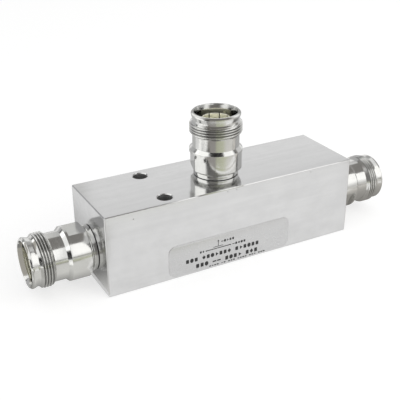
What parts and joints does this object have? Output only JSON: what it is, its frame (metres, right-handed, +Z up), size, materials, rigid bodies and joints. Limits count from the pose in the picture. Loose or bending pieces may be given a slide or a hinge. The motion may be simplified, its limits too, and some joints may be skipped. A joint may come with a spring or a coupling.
{
  "type": "rf tapper",
  "caption": "In-line coaxial power tapper: a square machined block with a female threaded connector at each end and another on top.",
  "frame": {"origin": "centre of the block's bottom face", "axes": "+X along the through line from the input to the output, +Z up towards the tap connector, the label on the -Y side"},
  "size_m": [0.1542, 0.0319, 0.0564],
  "materials": {
    "block": "fine milled",
    "plated_body": "white bronze plated",
    "contact_plating": "silver plated",
    "white_insulator": "smooth",
    "seal_rubber": "matte",
    "label_film": "satin silver"
  },
  "bodies": {
    "root": {"housing": "block", "input_connector_body": "plated_body", "output_connector_body": "plated_body", "tap_connector_body": "plated_body", "input_outer_contact": "contact_plating", "output_outer_contact": "contact_plating", "tap_outer_contact": "contact_plating", "input_centre_contact": "contact_plating", "output_centre_contact": "contact_plating", "tap_centre_contact": "contact_plating", "through_line": "contact_plating", "tap_probe": "contact_plating", "input_insulator": "white_insulator", "output_insulator": "white_insulator", "tap_insulator": "white_insulator", "coupling_sleeve": "white_insulator", "input_seal": "seal_rubber", "output_seal": "seal_rubber", "tap_seal": "seal_rubber", "rating_label": "label_film"}
  },
  "joints": []
}
